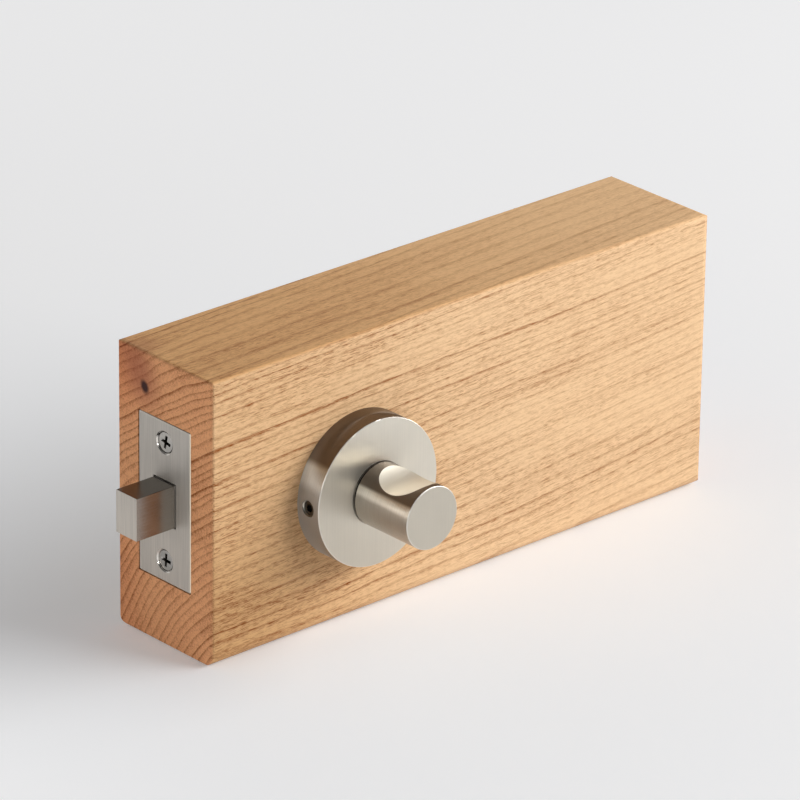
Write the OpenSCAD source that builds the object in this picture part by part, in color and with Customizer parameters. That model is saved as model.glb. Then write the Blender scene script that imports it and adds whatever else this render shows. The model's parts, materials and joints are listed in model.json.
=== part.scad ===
// Thumb turn with its tubular deadbolt, fitted to a timber sample block that stands for a door.
// Sizes are in millimetres. X runs along the block with the bolt at the -X end, the thumb turn
// faces -Y, the release side faces +Y, and Z is up. The origin is the middle of the underside.

/* [Block] */
// Length of the timber block
block_l = 215; // [190:1:260]
// Thickness of the block, which stands for the thickness of the door
block_t = 46; // [38:0.5:56]
// Height of the block
block_h = 98; // [86:1:130]
// Radius of the two long edges of the top
block_top_r = 1.5; // [0.5:0.1:3]
// Radius of the two long edges of the underside
block_foot_r = 5; // [0.5:0.1:6]
// Radius of the edges round the bolt's end
block_end_r = 1.5; // [0.5:0.1:3]
// Radius of the edges round the far end
block_far_r = 3.5; // [0.5:0.1:4]

/* [Lock position] */
// Height of the bolt, its case and the forend above the underside
lock_z = 49.9; // [44:0.1:60]
// Distance from the end of the block to the spindle
backset = 60; // [57:0.5:72]
// How far the spindle sits below the bolt's centre line
spindle_drop = 3; // [2.8:0.1:3.2]

/* [Rose] */
// Diameter of each rose
rose_d = 50; // [50:0.5:62]
// Thickness of each rose
rose_t = 10; // [9.5:0.1:13]
// Thickness of the rose's face
rose_face_t = 2.5; // [2:0.1:3]
// Thickness of the rose's rim
rose_rim_t = 2.2; // [1.8:0.1:3]
// Chamfer round the rose's face
rose_edge = 0.3; // [0.1:0.05:0.8]
// Depth of the boss behind the face, which holds the bush
rose_boss_l = 3; // [2.5:0.1:3.5]

/* [Thumb turn] */
// Diameter of the knob
knob_d = 21.2; // [20.6:0.1:26]
// Length from the rose's face to the knob's end
knob_reach = 25.3; // [21:0.1:31]
// Gap between the rose's face and the knob's body
knob_gap = 0.8; // [0.6:0.1:2]
// Chamfer round the knob's two ends
knob_edge = 0.3; // [0.1:0.05:0.6]
// Radius of the finger scoop
scoop_r = 13.5; // [11:0.1:16]
// Depth of the finger scoop below the top of the knob
scoop_depth = 3.8; // [3:0.1:5]
// Distance from the rose's face to the middle of the scoop
scoop_mid = 14; // [12:0.1:16]

/* [Release] */
// Diameter of the release button's head
release_d = 20.4; // [20.2:0.1:24]
// Height of the head above the rose's face
release_h = 2.9; // [2.4:0.1:4]
// Width of the coin slot
coin_slot_w = 1.8; // [1.2:0.1:2.4]
// Depth of the coin slot
coin_slot_depth = 1.7; // [1:0.1:2]

/* [Bearings and spindle] */
// Diameter of the journal behind the knob and the release head
journal_d = 12; // [11:0.1:13]
// Outer diameter of the bush's sleeve
bush_d = 16; // [15:0.1:17]
// Diameter of the bush's flange
bush_flange_d = 19.6; // [18.6:0.1:20]
// Thickness of the bush's flange
bush_flange_t = 1; // [0.8:0.1:1.4]
// Side of the square spindle
spindle_w = 5; // [4:0.1:5.4]
// Diameter of the pin that holds the spindle in the knob
spindle_pin_d = 2; // [1.5:0.1:2.4]

/* [Fixings] */
// Thickness of each base plate
plate_t = 7; // [6.6:0.1:7.2]
// Distance between the two through bolts
bolt_cc = 35; // [34.6:0.1:36]
// Thread diameter of the through bolts
bolt_d = 4; // [3:0.1:4.2]
// Diameter of the through bolts' heads
bolt_head_d = 7; // [6:0.1:7.4]
// Height of the through bolts' heads
bolt_head_h = 2.6; // [2:0.1:3]
// Diameter of the threaded pillars on the outer base plate
pillar_d = 6.5; // [6:0.1:7]
// Length of the threaded pillars
pillar_l = 11; // [9:0.5:12]
// Thread diameter of the grub screws in the rose rims
grub_d = 5; // [4:0.1:5.4]
// Length of the grub screws
grub_l = 3.9; // [3.6:0.1:4.2]

/* [Forend] */
// Height of the forend plates
forend_h = 55; // [52:0.5:70]
// Width of the forend plates
forend_w = 25; // [23:0.1:30]
// Thickness of the outer forend plate
forend_t = 2; // [1.8:0.1:2.5]
// Thickness of the inner forend plate
forend_back_t = 1; // [0.8:0.1:1.5]
// Distance between the two forend screws
forend_cc = 40.6; // [38:0.1:50]
// Diameter of the forend screws' heads
screw_head_d = 6.9; // [6:0.1:7]
// Diameter of the forend screws' shanks
screw_d = 3.5; // [3:0.1:4]
// Length of the forend screws
screw_l = 20; // [16:0.5:30]

/* [Bolt] */
// Thickness of the bolt, across the door
bolt_w = 10; // [8:0.1:11]
// Height of the bolt
bolt_h = 14.6; // [12:0.1:15]
// Length of the bolt
bolt_l = 38; // [36:0.5:39]
// Travel of the bolt
bolt_throw = 15.2; // [14.6:0.1:15.4]
// How far the bolt stands out of the forend when it is drawn back
bolt_proud = 0.4; // [0.2:0.1:1]

/* [Case] */
// Outer diameter of the tubular case
case_d = 22.4; // [22.2:0.1:23]
// Wall of the tubular case
case_wall = 0.8; // [0.6:0.1:0.9]
// Length of the case beyond the spindle
case_beyond = 18; // [17.5:0.5:24]

/* [Hidden] */
$fn = 96;

// Clearances: a press fit or thread as drawn, a running fit, a plain gap and a loose hole
fit_gap = 0.05;
slide_gap = 0.15;
loose_gap = 0.3;
// How far a cutting shape runs past the face that it opens
past = 1;

// Spindle position
end_x = -block_l / 2;
front_y = -block_t / 2;
spindle_x = end_x + backset;
spindle_z = lock_z - spindle_drop;

// Rose and base plate, measured outwards from the timber
rose_recess_d = rose_d - 2 * rose_rim_t;
rose_recess_l = rose_t - rose_face_t;
boss_start = rose_recess_l - rose_boss_l;
boss_d = bush_d + 6;
plate_d = rose_recess_d - 2 * loose_gap;
plate_bore_d = boss_d + 2;
grub_mid = rose_t / 2;
grub_recess = 0.7;
grub_point_d = grub_d - 2;
grub_point_l = 2.2;
grub_socket_w = 2.5;
grub_socket_l = 1.9;

// Circlip and spring washer, which hold the turn in the rose
clip_t = 1;
clip_groove_depth = 0.4;
clip_d = journal_d + 5.4;
clip_mouth = 4.4;
clip_ear_d = 3.2;
clip_ear_hole_d = 1.4;
washer_t = 0.3;
washer_room = 0.6;
washer_d = bush_d + 1.2;
clip_start = boss_start - washer_room - clip_t;
clip_groove_d = journal_d - 2 * clip_groove_depth;

// Journal, collar and spindle
collar_d = 15;
journal_in = 3;
spindle_end = 8;
spindle_end_gap = 0.5;
spindle_pin_in = 1;

// Through bolts
cross_bore_d = 22;
bolt_hole_gap = 0.5;
bolt_seat = plate_t - bolt_head_h - 0.4;
pillar_floor = 2;
thread_end_gap = 3;
socket_w = 3;
socket_l = 1.6;

// Forend
rebate_gap = 0.25;
rebate_l = forend_t + forend_back_t;
forend_corner_r = 0.6;
slot_gap_w = 0.4;
slot_gap_h = 0.4;
sink_rim = 0.5;
screw_hole_gap = 0.6;
cross_w = 1.3;
cross_l = 4.6;
cross_foot_l = 1.8;
cross_depth = 1.6;
screw_tip_l = 4;
screw_tip_d = 0.8;
slot_w = bolt_w + 2 * slot_gap_w;
slot_h = bolt_h + 2 * slot_gap_h;

// Case and guide
bore_gap = 0.2;
case_x = end_x + rebate_l;
case_end = spindle_x + case_beyond;
case_id = case_d - 2 * case_wall;
bore_end = case_end + 2;
cap_l = 4;
cap_floor = 1;
guide_l = 12;
guide_start_gap = 0.2;
case_pin_d = 2;
case_pin_l = 3;
case_pin_x = case_x + guide_l / 2;

// Follower and crank
crank_angle = 45;
crank_r = bolt_throw / (2 * sin(crank_angle));
crank_pin_d = 2.4;
crank_tip_d = 3.6;
hub_d = 10;
hub_l = 15;
hub_bush_d = 13;
hub_bush_in = 3.8;
hub_flat = 4.4;
arm_t = 1.5;

// Bolt tail
tail_t = 3;
tail_lap = 12;
tail_lap_h = 8;
tail_neck_l = 8;
tail_end_l = 3;
tail_rise = 0.5;
crank_gap = 0.25;
crank_slot_gap = 0.5;
rivet_d = 2.5;
rivet_spacing = 6;
bolt_x = end_x - bolt_throw - bolt_proud;
bolt_back_x = bolt_x + bolt_l;
pin_x = spindle_x - crank_r * sin(crank_angle);
arm_in = tail_t / 2 + loose_gap;
tail_top = case_id / 2 - 0.4;

// Detent spring
spring_w = 3;
spring_t = 0.4;
spring_reach = 9;
spring_z = spindle_z - hub_flat - fit_gap - spring_t;

// Round bar along X
module rod_x(x0, x1, d) {
    translate([x0, 0, 0]) rotate([0, 90, 0]) cylinder(h = x1 - x0, d = d);
}

// Round bar along Y
module rod_y(y0, y1, d) {
    translate([0, y1, 0]) rotate([90, 0, 0]) cylinder(h = y1 - y0, d = d);
}

// Square bar along Z from z0 to z1
module square_bar(w, z0, z1) {
    translate([-w / 2, -w / 2, z0]) cube([w, w, z1 - z0]);
}

// Flat rectangle with round corners, centred
module round_rect(w, h, r) {
    square([w, h - 2 * r], center = true);
    square([w - 2 * r, h], center = true);
    for (x = [-1, 1], y = [-1, 1])
        translate([x * (w / 2 - r), y * (h / 2 - r)]) circle(r = r);
}

// Flat rectangle, centred, with one radius at its two low corners and another at its high ones
module eased_rect(w, h, low_r, high_r) {
    translate([-w / 2, low_r - h / 2]) square([w, h - low_r - high_r]);
    translate([low_r - w / 2, -h / 2]) square([w - 2 * low_r, h / 2]);
    translate([high_r - w / 2, 0]) square([w - 2 * high_r, h / 2]);
    for (x = [-1, 1]) {
        translate([x * (w / 2 - low_r), low_r - h / 2]) circle(r = low_r);
        translate([x * (w / 2 - high_r), h / 2 - high_r]) circle(r = high_r);
    }
}

// Puts a piece drawn outwards along Z on the thumb turn's side of the block
module on_front() {
    translate([spindle_x, front_y, spindle_z]) rotate([90, 0, 0]) children();
}

// Puts a piece drawn outwards along Z on the release side of the block
module on_back() {
    mirror([0, 1, 0]) on_front() children();
}

// Puts a piece drawn round the Y axis on the spindle
module on_spindle() {
    translate([spindle_x, 0, spindle_z]) children();
}

// Puts a piece drawn along the X axis on the bolt's centre line
module on_lock() {
    translate([0, 0, lock_z]) children();
}

// Puts a piece drawn inwards along Z on the end face, at a forend screw
module on_screw(side) {
    translate([end_x, 0, lock_z + side * forend_cc / 2]) rotate([0, 90, 0]) children();
}

// A plate across the end of the block, from x0, t thick
module end_plate(x0, t, w, h, r) {
    translate([x0, 0, lock_z]) rotate([90, 0, 90]) linear_extrude(t) round_rect(w, h, r);
}

// Timber block, with its rebate, case bore, spindle bore and bolt holes
module sample_block() {
    color("burlywood") difference() {
        translate([0, 0, block_h / 2]) intersection() {
            rotate([90, 0, 90]) linear_extrude(block_l + past, center = true)
                eased_rect(block_t, block_h, block_foot_r, block_top_r);
            rotate([90, 0, 0]) linear_extrude(block_t + past, center = true) rotate([0, 0, -90])
                eased_rect(block_h, block_l, block_end_r, block_far_r);
            linear_extrude(block_h + past, center = true) rotate([0, 0, -90])
                eased_rect(block_t, block_l, block_end_r, block_far_r);
        }
        end_plate(end_x - past, rebate_l + past, forend_w + 2 * rebate_gap,
                  forend_h + 2 * rebate_gap, forend_corner_r);
        on_lock() rod_x(end_x, bore_end, case_d + 2 * bore_gap);
        on_spindle() rod_y(front_y - past, past - front_y, cross_bore_d);
        for (side = [-1, 1]) {
            translate([0, 0, side * bolt_cc / 2]) on_spindle() {
                rod_y(front_y - past, past - front_y, bolt_d + 2 * bolt_hole_gap);
                rod_y(-front_y - pillar_l - past, past - front_y, pillar_d + bolt_hole_gap);
            }
            on_screw(side) cylinder(h = screw_l + past, d = screw_d + 2 * fit_gap);
        }
    }
}

// Outer forend plate, with the bolt's slot and two countersunk holes
module forend() {
    color("silver") difference() {
        end_plate(end_x, forend_t, forend_w, forend_h, forend_corner_r);
        on_lock() translate([end_x - past, -slot_w / 2, -slot_h / 2])
            cube([forend_t + 2 * past, slot_w, slot_h]);
        for (side = [-1, 1]) on_screw(side) {
            translate([0, 0, -past]) cylinder(h = forend_t + 2 * past, d = screw_d + screw_hole_gap);
            screw_sink(fit_gap);
        }
    }
}

// Cone of a countersunk head, grown by a gap, out to a little above the forend's face
module screw_sink(gap) {
    top_r = screw_head_d / 2 + sink_rim + gap;
    rotate_extrude() polygon([[0, -past], [top_r + past, -past], [0, top_r]]);
}

// Inner forend plate, which carries the case
module forend_back() {
    color("gainsboro") difference() {
        end_plate(end_x + forend_t, forend_back_t, forend_w - rebate_gap, forend_h - rebate_gap,
                  forend_corner_r);
        on_lock() translate([end_x, -slot_w / 2, -slot_h / 2]) cube([rebate_l + past, slot_w, slot_h]);
        for (side = [-1, 1])
            on_screw(side) cylinder(h = rebate_l + past, d = screw_d + screw_hole_gap);
    }
}

// Countersunk wood screw with a cross recess, below the forend's face by the sink's rim
module forend_screw(side) {
    cone_end = sink_rim + (screw_head_d - screw_d) / 2;
    color("silver") on_screw(side) difference() {
        rotate_extrude() polygon([[0, sink_rim], [screw_head_d / 2, sink_rim],
                                  [screw_d / 2, cone_end], [screw_d / 2, screw_l - screw_tip_l],
                                  [screw_tip_d / 2, screw_l], [0, screw_l]]);
        for (turn = [0, 90]) rotate([90, 0, turn]) linear_extrude(cross_w, center = true)
            polygon([[-cross_l / 2, sink_rim - past], [cross_l / 2, sink_rim - past],
                     [cross_l / 2, sink_rim], [cross_foot_l / 2, sink_rim + cross_depth],
                     [-cross_foot_l / 2, sink_rim + cross_depth], [-cross_l / 2, sink_rim]]);
    }
}

// Tubular case, with side holes for the follower's bushes
module latch_case() {
    color("lightsteelblue") difference() {
        on_lock() rod_x(case_x, case_end, case_d);
        on_lock() rod_x(case_x - past, case_end + past, case_id);
        on_spindle() rod_y(-case_d, case_d, hub_bush_d);
        on_lock() translate([case_pin_x, 0, 0])
            cylinder(h = 2 * case_d, d = case_pin_d + 2 * fit_gap, center = true);
    }
}

// Moulded plug in the far end of the case, which also holds the detent spring
module case_end_cap() {
    color("dimgray") difference() {
        on_lock() rod_x(case_end - cap_l, case_end, case_id - 2 * fit_gap);
        translate([case_end - cap_l - past, -spring_w / 2 - fit_gap, spring_z - fit_gap])
            cube([cap_l - cap_floor + past, spring_w + 2 * fit_gap, spring_t + 2 * fit_gap]);
    }
}

// Two pins through the case wall into the bolt guide
module case_pins() {
    color("silver") for (side = [-1, 1])
        translate([case_pin_x, 0, lock_z + side * (case_d / 2 - case_pin_l / 2)])
            cylinder(h = case_pin_l, d = case_pin_d, center = true);
}

// Moulded guide in the mouth of the case, round the bolt
module bolt_guide() {
    guide_w = bolt_w + 2 * slide_gap;
    guide_h = bolt_h + 2 * slide_gap;
    guide_x = case_x + guide_start_gap;
    color("dimgray") on_lock() difference() {
        rod_x(guide_x, guide_x + guide_l, case_id - 2 * fit_gap);
        translate([guide_x - past, -guide_w / 2, -guide_h / 2])
            cube([guide_l + 2 * past, guide_w, guide_h]);
        translate([case_pin_x, 0, 0])
            cylinder(h = 2 * case_d, d = case_pin_d + 2 * fit_gap, center = true);
    }
}

// Flat spring that clicks against the follower's two flats
module detent_spring() {
    spring_x = spindle_x - spring_reach;
    color("slategray") translate([spring_x, -spring_w / 2, spring_z])
        cube([case_end - cap_floor - fit_gap - spring_x, spring_w, spring_t]);
}

// Bush of the follower, trimmed to the outside of the case
module hub_bush(side) {
    color("dimgray") difference() {
        intersection() {
            on_spindle() rotate([0, 0, side > 0 ? 0 : 180])
                rod_y(hub_bush_in, case_d / 2, hub_bush_d - 2 * fit_gap);
            on_lock() rod_x(case_x, case_end, case_d);
        }
        on_spindle() rod_y(-case_d, case_d, hub_d + 2 * fit_gap);
    }
}

// Round base plate under a rose, drawn outwards from the timber
module base_plate() {
    difference() {
        cylinder(h = plate_t, d = plate_d);
        translate([0, 0, -past]) cylinder(h = plate_t + 2 * past, d = plate_bore_d);
        translate([-plate_d / 2 - past, 0, grub_mid]) rotate([0, 90, 0])
            cylinder(h = past + grub_point_l, d = grub_point_d + 2 * slide_gap);
    }
}

// Base plate on the thumb turn's side, with counterbored bolt holes
module inner_base_plate() {
    color("darkgray") on_front() difference() {
        base_plate();
        for (side = [-1, 1]) translate([0, side * bolt_cc / 2, 0]) {
            translate([0, 0, -past]) cylinder(h = plate_t + 2 * past, d = bolt_d + 2 * slide_gap);
            translate([0, 0, bolt_seat]) cylinder(h = plate_t, d = bolt_head_d + 2 * slide_gap);
        }
    }
}

// Base plate on the release side, with two threaded pillars that reach into the timber
module outer_base_plate() {
    color("darkgray") on_back() difference() {
        union() {
            base_plate();
            for (side = [-1, 1])
                translate([0, side * bolt_cc / 2, -pillar_l])
                    cylinder(h = pillar_l + plate_t / 2, d = pillar_d);
        }
        for (side = [-1, 1])
            translate([0, side * bolt_cc / 2, -pillar_l - past])
                cylinder(h = pillar_l + past - pillar_floor, d = bolt_d + 2 * fit_gap);
    }
}

// Rose cover, drawn outwards from the timber
module rose() {
    rose_r = rose_d / 2;
    bore_r = bush_d / 2 + fit_gap;
    seat_r = bush_flange_d / 2 + slide_gap;
    difference() {
        rotate_extrude() polygon([
            [bore_r, boss_start], [boss_d / 2, boss_start], [boss_d / 2, rose_recess_l],
            [rose_recess_d / 2, rose_recess_l], [rose_recess_d / 2, 0], [rose_r, 0],
            [rose_r, rose_t - rose_edge], [rose_r - rose_edge, rose_t], [seat_r, rose_t],
            [seat_r, rose_t - bush_flange_t], [bore_r, rose_t - bush_flange_t]]);
        translate([-rose_r - past, 0, grub_mid]) rotate([0, 90, 0])
            cylinder(h = rose_rim_t + 2 * past, d = grub_d + 2 * fit_gap);
    }
}

module inner_rose() {
    color("silver") on_front() rose();
}

module outer_rose() {
    color("silver") on_back() rose();
}

// Grub screw with a hexagon socket, whose point enters the base plate's rim
module rose_grub() {
    body_l = grub_l - grub_point_l;
    color("gray") translate([-rose_d / 2 + grub_recess, 0, grub_mid]) rotate([0, 90, 0]) difference() {
        union() {
            cylinder(h = body_l, d = grub_d);
            cylinder(h = grub_l, d = grub_point_d);
        }
        translate([0, 0, -past])
            cylinder(h = past + grub_socket_l, d = grub_socket_w / cos(30), $fn = 6);
    }
}

module inner_rose_grub() {
    on_front() rose_grub();
}

module outer_rose_grub() {
    on_back() rose_grub();
}

// Flanged bush in the rose's boss, round the journal
module bush() {
    bore_r = journal_d / 2 + fit_gap;
    color("dimgray") rotate_extrude() polygon([
        [bore_r, boss_start], [bush_d / 2, boss_start], [bush_d / 2, rose_t - bush_flange_t],
        [bush_flange_d / 2, rose_t - bush_flange_t], [bush_flange_d / 2, rose_t],
        [bore_r, rose_t]]);
}

module inner_bush() {
    on_front() bush();
}

module outer_bush() {
    on_back() bush();
}

// Cheese-head through bolt with a hexagon socket, from the inner plate into a pillar
module through_bolt(side) {
    tip = -block_t + pillar_floor + thread_end_gap;
    color("silver") on_front() translate([0, side * bolt_cc / 2, 0]) difference() {
        rotate_extrude() polygon([
            [0, tip], [bolt_d / 2, tip], [bolt_d / 2, bolt_seat], [bolt_head_d / 2, bolt_seat],
            [bolt_head_d / 2, bolt_seat + bolt_head_h], [0, bolt_seat + bolt_head_h]]);
        translate([0, 0, bolt_seat + bolt_head_h - socket_l])
            cylinder(h = socket_l + past, d = socket_w / cos(30), $fn = 6);
    }
}

// Points of a turning piece's back part, up to its collar: journal, clip groove and collar
function journal_points(head_start) = [
    [0, -journal_in], [journal_d / 2, -journal_in], [journal_d / 2, clip_start - fit_gap],
    [clip_groove_d / 2, clip_start - fit_gap], [clip_groove_d / 2, clip_start + clip_t + fit_gap],
    [journal_d / 2, clip_start + clip_t + fit_gap], [journal_d / 2, rose_t + slide_gap],
    [collar_d / 2, rose_t + slide_gap], [collar_d / 2, head_start]];

// Blind square hole for the spindle
module spindle_socket() {
    square_bar(spindle_w + 2 * fit_gap, -journal_in - past, spindle_end + spindle_end_gap);
}

// Knob of the thumb turn, with its finger scoop
module knob() {
    body_start = rose_t + knob_gap;
    body_end = rose_t + knob_reach;
    knob_r = knob_d / 2;
    color("silver") on_front() difference() {
        rotate_extrude() polygon(concat(journal_points(body_start), [
            [knob_r - knob_edge, body_start], [knob_r, body_start + knob_edge],
            [knob_r, body_end - knob_edge], [knob_r - knob_edge, body_end], [0, body_end]]));
        spindle_socket();
        translate([0, knob_r - scoop_depth + scoop_r, rose_t + scoop_mid]) rotate([0, 90, 0])
            cylinder(h = knob_d + 2 * past, r = scoop_r, center = true);
        translate([0, 0, -spindle_pin_in]) rotate([0, 90, 0])
            cylinder(h = journal_d + past, d = spindle_pin_d + 2 * fit_gap, center = true);
    }
}

// Release button, with a coin slot
module release_button() {
    head_start = rose_t + loose_gap;
    head_end = rose_t + release_h;
    head_r = release_d / 2;
    color("silver") on_back() difference() {
        rotate_extrude() polygon(concat(journal_points(head_start), [
            [head_r, head_start], [head_r, head_end - knob_edge], [head_r - knob_edge, head_end],
            [0, head_end]]));
        spindle_socket();
        translate([-coin_slot_w / 2, -release_d, head_end - coin_slot_depth])
            cube([coin_slot_w, 2 * release_d, coin_slot_depth + past]);
    }
}

// Square spindle from the knob to the release button
module spindle() {
    reach = block_t / 2 + spindle_end;
    color("silver") difference() {
        on_spindle() rotate([90, 0, 0]) square_bar(spindle_w, -reach, reach);
        on_front() translate([0, 0, -spindle_pin_in]) rotate([0, 90, 0])
            cylinder(h = journal_d, d = spindle_pin_d + 2 * fit_gap, center = true);
    }
}

// Pin through the knob's journal and the spindle
module spindle_pin() {
    color("gray") on_front() translate([0, 0, -spindle_pin_in]) rotate([0, 90, 0])
        cylinder(h = journal_d - slide_gap, d = spindle_pin_d, center = true);
}

// Circlip in the journal's groove, with two eared ends
module circlip() {
    ear_y = -clip_d / 2 + clip_ear_d / 4;
    ear_x = clip_mouth / 2 + clip_ear_d / 2;
    color("slategray") translate([0, 0, clip_start]) linear_extrude(clip_t) difference() {
        union() {
            circle(d = clip_d);
            for (x = [-ear_x, ear_x]) translate([x, ear_y]) circle(d = clip_ear_d);
        }
        circle(d = clip_groove_d + 2 * fit_gap);
        translate([-clip_mouth / 2, -clip_d]) square([clip_mouth, clip_d]);
        for (x = [-ear_x, ear_x]) translate([x, ear_y]) circle(d = clip_ear_hole_d);
    }
}

module inner_circlip() {
    on_front() circlip();
}

module outer_circlip() {
    on_back() circlip();
}

// Conical spring washer between the circlip and the rose's boss
module spring_washer() {
    in_r = journal_d / 2 + slide_gap;
    out_r = washer_d / 2;
    low = clip_start + clip_t + fit_gap;
    high = boss_start - 2 * fit_gap;
    color("slategray") rotate_extrude() polygon([
        [in_r, low], [in_r, low + washer_t], [out_r, high], [out_r, high - washer_t]]);
}

module inner_spring_washer() {
    on_front() spring_washer();
}

module outer_spring_washer() {
    on_back() spring_washer();
}

// Flat outline of one crank arm, standing up from the middle of the hub
module arm_outline() {
    translate([0, crank_r]) circle(d = crank_tip_d);
    translate([-crank_tip_d / 2, 0]) square([crank_tip_d, crank_r]);
}

// Follower: a hub with a square hole, two flats for the detent and two crank arms
module follower() {
    flat_l = 2 * arm_in;
    color("tan") on_spindle() difference() {
        union() {
            rod_y(-hub_l / 2, hub_l / 2, hub_d);
            for (y = [-arm_in - arm_t, arm_in]) translate([0, y + arm_t, 0])
                rotate([90, 0, 0]) rotate([0, 0, crank_angle]) linear_extrude(arm_t) arm_outline();
        }
        rotate([90, 0, 0]) square_bar(spindle_w + 2 * fit_gap, -hub_l, hub_l);
        translate([-hub_d, -flat_l / 2, -hub_flat - hub_d]) cube([2 * hub_d, flat_l, hub_d]);
        translate([hub_flat, -flat_l / 2, -hub_d]) cube([hub_d, flat_l, 2 * hub_d]);
        crank_place() rod_y(-hub_l, hub_l, crank_pin_d + 2 * fit_gap);
    }
}

// Moves a piece from the spindle to the crank pin, where it is with the bolt thrown
module crank_place() {
    translate([-crank_r * sin(crank_angle), 0, crank_r * cos(crank_angle)]) children();
}

// Crank pin between the follower's arms
module crank_pin() {
    color("silver") on_spindle() crank_place() rod_y(-arm_in - arm_t, arm_in + arm_t, crank_pin_d);
}

// The rivets' two places in the lap of the bolt and its tail
module at_rivets() {
    for (side = [-1, 1])
        translate([bolt_back_x - tail_lap / 2 + side * rivet_spacing / 2, 0, lock_z]) children();
}

// Plain rectangular bolt, slotted at the back for its tail
module bolt() {
    color("silver") difference() {
        translate([bolt_x, -bolt_w / 2, lock_z - bolt_h / 2]) cube([bolt_l, bolt_w, bolt_h]);
        translate([bolt_back_x - tail_lap - fit_gap, -tail_t / 2 - fit_gap,
                   lock_z - tail_lap_h / 2 - fit_gap])
            cube([tail_lap + past, tail_t + 2 * fit_gap, tail_lap_h + 2 * fit_gap]);
        at_rivets() rod_y(-bolt_w, bolt_w, rivet_d + 2 * fit_gap);
    }
}

// Tail plate of the bolt, with the crank pin's slot open downwards
module bolt_tail() {
    strip_low = spindle_z + hub_d / 2 + tail_rise;
    strip_top = lock_z + tail_top;
    slot_half = crank_pin_d / 2 + crank_slot_gap;
    slot_top = spindle_z + crank_r + crank_pin_d / 2 + crank_gap;
    tail_end = pin_x + slot_half + tail_end_l;
    color("tan") difference() {
        translate([0, tail_t / 2, 0]) rotate([90, 0, 0]) linear_extrude(tail_t) difference() {
            union() {
                translate([bolt_back_x - tail_lap, lock_z - tail_lap_h / 2])
                    square([tail_lap + tail_neck_l, tail_lap_h]);
                translate([bolt_back_x + loose_gap, strip_low])
                    square([tail_end - bolt_back_x - loose_gap, strip_top - strip_low]);
            }
            translate([pin_x - slot_half, strip_low - past])
                square([2 * slot_half, slot_top - strip_low + past]);
        }
        at_rivets() rod_y(-bolt_w, bolt_w, rivet_d + 2 * fit_gap);
    }
}

// Two rivets through the bolt and its tail
module tail_rivets() {
    color("gray") at_rivets() rod_y(-bolt_w / 2, bolt_w / 2, rivet_d);
}

sample_block();
forend();
forend_back();
forend_screw(1);  // forend_screw_upper
forend_screw(-1);  // forend_screw_lower
latch_case();
case_end_cap();
case_pins();
bolt_guide();
detent_spring();
hub_bush(-1);  // hub_bush_inner
hub_bush(1);  // hub_bush_outer
inner_base_plate();
outer_base_plate();
inner_rose();
outer_rose();
inner_rose_grub();
outer_rose_grub();
inner_bush();
outer_bush();
through_bolt(1);  // through_bolt_upper
through_bolt(-1);  // through_bolt_lower
knob();
spindle();
spindle_pin();
inner_circlip();
outer_circlip();
inner_spring_washer();
outer_spring_washer();
release_button();
follower();
crank_pin();
bolt();
bolt_tail();
tail_rivets();
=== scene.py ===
# %% [markdown]
# # Thumb turn and deadbolt on a timber sample block
# A piece of light hardwood stands for the edge of a door. A tubular deadbolt is let into its end,
# and a round rose with a scooped knob sits on its face. The CAD model, packed as a fixed frame, says
# where every piece is. This lesson gives the pieces that can be seen rounder edges and real
# finishes, and leaves the mechanism inside the block as the CAD made it.

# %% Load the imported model
import json
import math

import bmesh
import bpy
from mathutils import Matrix, Vector


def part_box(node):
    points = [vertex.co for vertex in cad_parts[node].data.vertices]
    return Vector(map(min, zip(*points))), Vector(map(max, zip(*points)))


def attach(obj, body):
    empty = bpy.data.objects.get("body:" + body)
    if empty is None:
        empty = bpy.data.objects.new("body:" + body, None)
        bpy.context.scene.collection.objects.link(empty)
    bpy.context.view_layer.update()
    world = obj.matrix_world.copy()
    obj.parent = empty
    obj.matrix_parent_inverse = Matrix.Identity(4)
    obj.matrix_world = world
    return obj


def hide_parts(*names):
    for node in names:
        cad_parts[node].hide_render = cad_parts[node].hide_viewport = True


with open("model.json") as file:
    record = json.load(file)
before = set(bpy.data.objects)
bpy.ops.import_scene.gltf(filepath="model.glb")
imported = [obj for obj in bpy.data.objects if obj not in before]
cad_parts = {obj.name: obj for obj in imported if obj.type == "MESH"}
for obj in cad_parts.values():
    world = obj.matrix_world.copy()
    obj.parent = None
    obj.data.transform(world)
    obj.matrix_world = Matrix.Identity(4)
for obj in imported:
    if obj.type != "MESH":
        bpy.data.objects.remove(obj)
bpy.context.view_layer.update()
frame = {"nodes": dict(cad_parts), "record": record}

# %% [markdown]
# ## Sizes
# The frame is in metres, but door hardware is drawn in millimetres, and numbers such as 0.3 are
# easier to read than 0.0003. So every shape here is made in millimetres and brought down to metres
# as the last step. A box from the frame gives the places, so nothing has to be fitted by eye.

# %% Where the frame puts things
MM = 0.001


def place(node):
    """Lowest and highest corner of a CAD node, in millimetres."""
    low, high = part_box(node)
    return low / MM, high / MM


block_low, block_high = place("sample_block")
forend_low, forend_high = place("forend")
bolt_low, bolt_high = place("bolt")
spindle_low, spindle_high = place("spindle")
spindle_x = (spindle_low.x + spindle_high.x) / 2
spindle_z = (spindle_low.z + spindle_high.z) / 2
lock_z = (bolt_low.z + bolt_high.z) / 2
print("block", [round(n, 1) for n in block_high - block_low], "spindle", round(spindle_x, 2),
      round(spindle_z, 2))

# %% [markdown]
# ## Camera
# The photograph was taken from a little above the block and to its left, from far away, so that
# parallel edges hardly draw together. A long lens two metres off gives that look. The viewing angle
# comes from the block's corners: azimuth and elevation turn the camera round the object, and a
# small roll takes up the rest. The picture's upright edges were straightened, which only a lens
# with a large shift can follow, and that would carry the block out of every other view. So the
# shift stays at nothing, and this place is the best compromise without it.

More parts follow.
